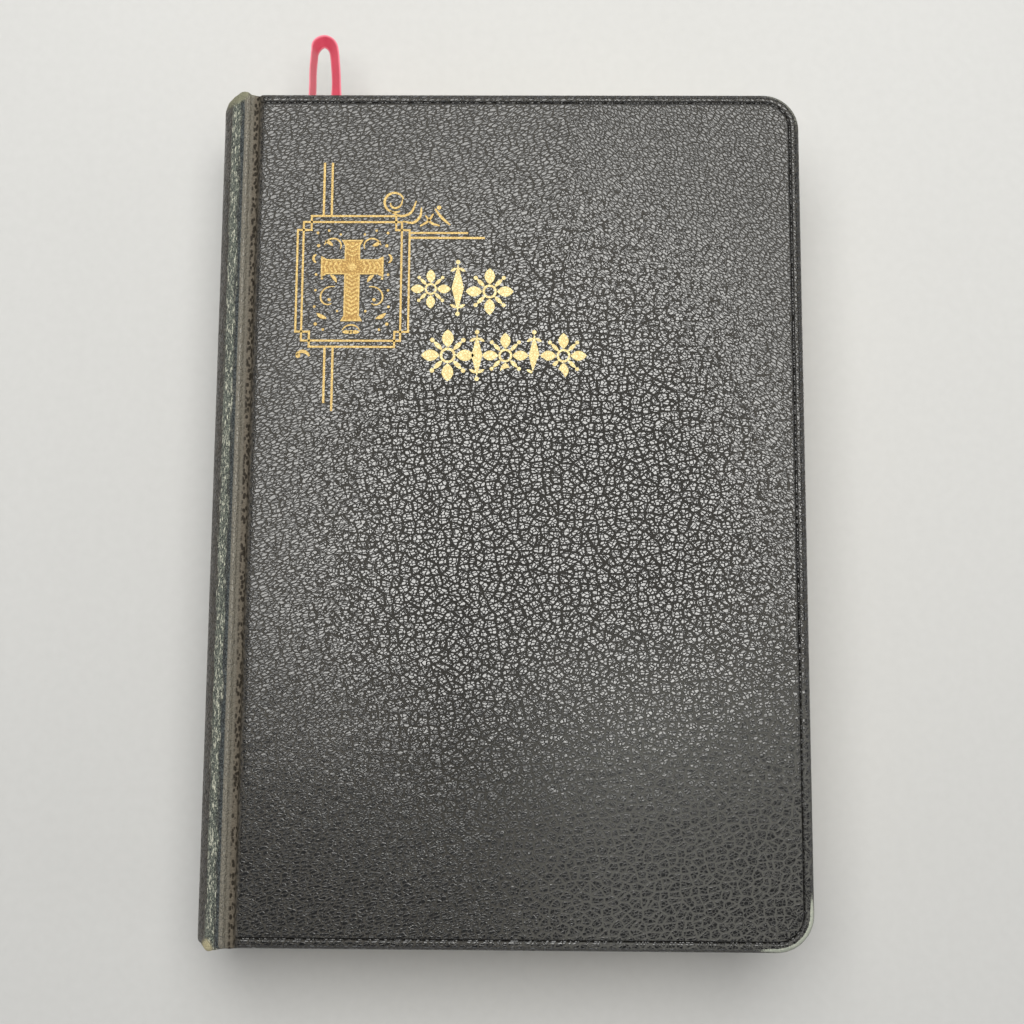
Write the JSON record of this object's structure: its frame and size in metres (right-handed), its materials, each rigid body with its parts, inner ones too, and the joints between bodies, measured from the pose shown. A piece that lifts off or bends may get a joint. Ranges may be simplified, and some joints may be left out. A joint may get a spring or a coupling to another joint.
{
  "type": "leather-bound bible",
  "caption": "Closed leather-bound bible on its back cover: hinged covers and flyleaves on a rounded, sewn page block with endbands, ribbon marker and stamped front.",
  "frame": {"origin": "under the middle of the closed book, on the surface that it lies on", "axes": "+X from the spine to the fore-edge, +Y from the tail to the head, +Z from the back cover up to the front cover"},
  "size_m": [0.148, 0.2325, 0.0362],
  "materials": {
    "leather": "black pebble-grain leather, polished by handling, with a blind-pressed border line",
    "board": "matt pulp board",
    "endpaper": "uncoated cream endpaper, lightly toned",
    "pages": "thin uncoated bible paper, toned at its edges",
    "mull": "open cotton gauze, glued",
    "lining": "brown kraft paper",
    "endband": "striped woven cotton band",
    "ribbon": "narrow satin-woven ribbon, faded at its edges",
    "foil": "gold stamping foil pressed into the leather"
  },
  "bodies": {
    "text_block": {"section_01": "pages", "section_02": "pages", "section_03": "pages", "section_04": "pages", "section_05": "pages", "section_06": "pages", "section_07": "pages", "section_08": "pages", "section_09": "pages", "section_10": "pages", "section_11": "pages", "section_12": "pages", "section_13": "pages", "section_14": "pages", "section_15": "pages", "section_16": "pages", "section_17": "pages", "section_18": "pages", "section_19": "pages", "section_20": "pages", "section_21": "pages", "section_22": "pages", "section_23": "pages", "section_24": "pages", "spine_mull": "mull", "spine_lining": "lining", "spine_inlay": "board", "spine_leather": "leather", "head_band": "endband", "tail_band": "endband", "ribbon_marker": "ribbon", "front_endpaper_stub": "endpaper", "back_endpaper_stub": "endpaper"},
    "front_cover": {"front_cover_leather": "leather", "front_board": "board", "front_pastedown": "endpaper", "foil_frame": "foil", "foil_cross": "foil"},
    "front_leaf": {"front_flyleaf": "endpaper"},
    "back_cover": {"back_cover_leather": "leather", "back_board": "board", "back_pastedown": "endpaper"},
    "back_leaf": {"back_flyleaf": "endpaper"}
  },
  "joints": [
    {"name": "front_cover_hinge", "type": "hinge", "parent": "text_block", "child": "front_cover", "pos_m": [-0.0635, 0, 0.0354], "axis": [0, -1, 0], "range_deg": [0, 180]},
    {"name": "front_flyleaf_hinge", "type": "hinge", "parent": "text_block", "child": "front_leaf", "pos_m": [-0.0615, 0, 0.0354], "axis": [0, -1, 0], "range_deg": [0, 175]},
    {"name": "back_cover_hinge", "type": "hinge", "parent": "text_block", "child": "back_cover", "pos_m": [-0.0635, 0, 0.0006], "axis": [0, 1, 0], "range_deg": [0, 180]},
    {"name": "back_flyleaf_hinge", "type": "hinge", "parent": "text_block", "child": "back_leaf", "pos_m": [-0.0615, 0, 0.0006], "axis": [0, 1, 0], "range_deg": [0, 175]}
  ],
  "couplings": [
    {"joint": "front_flyleaf_hinge", "follows": "front_cover_hinge", "ratio": 0.97},
    {"joint": "back_flyleaf_hinge", "follows": "back_cover_hinge", "ratio": 0.97}
  ]
}
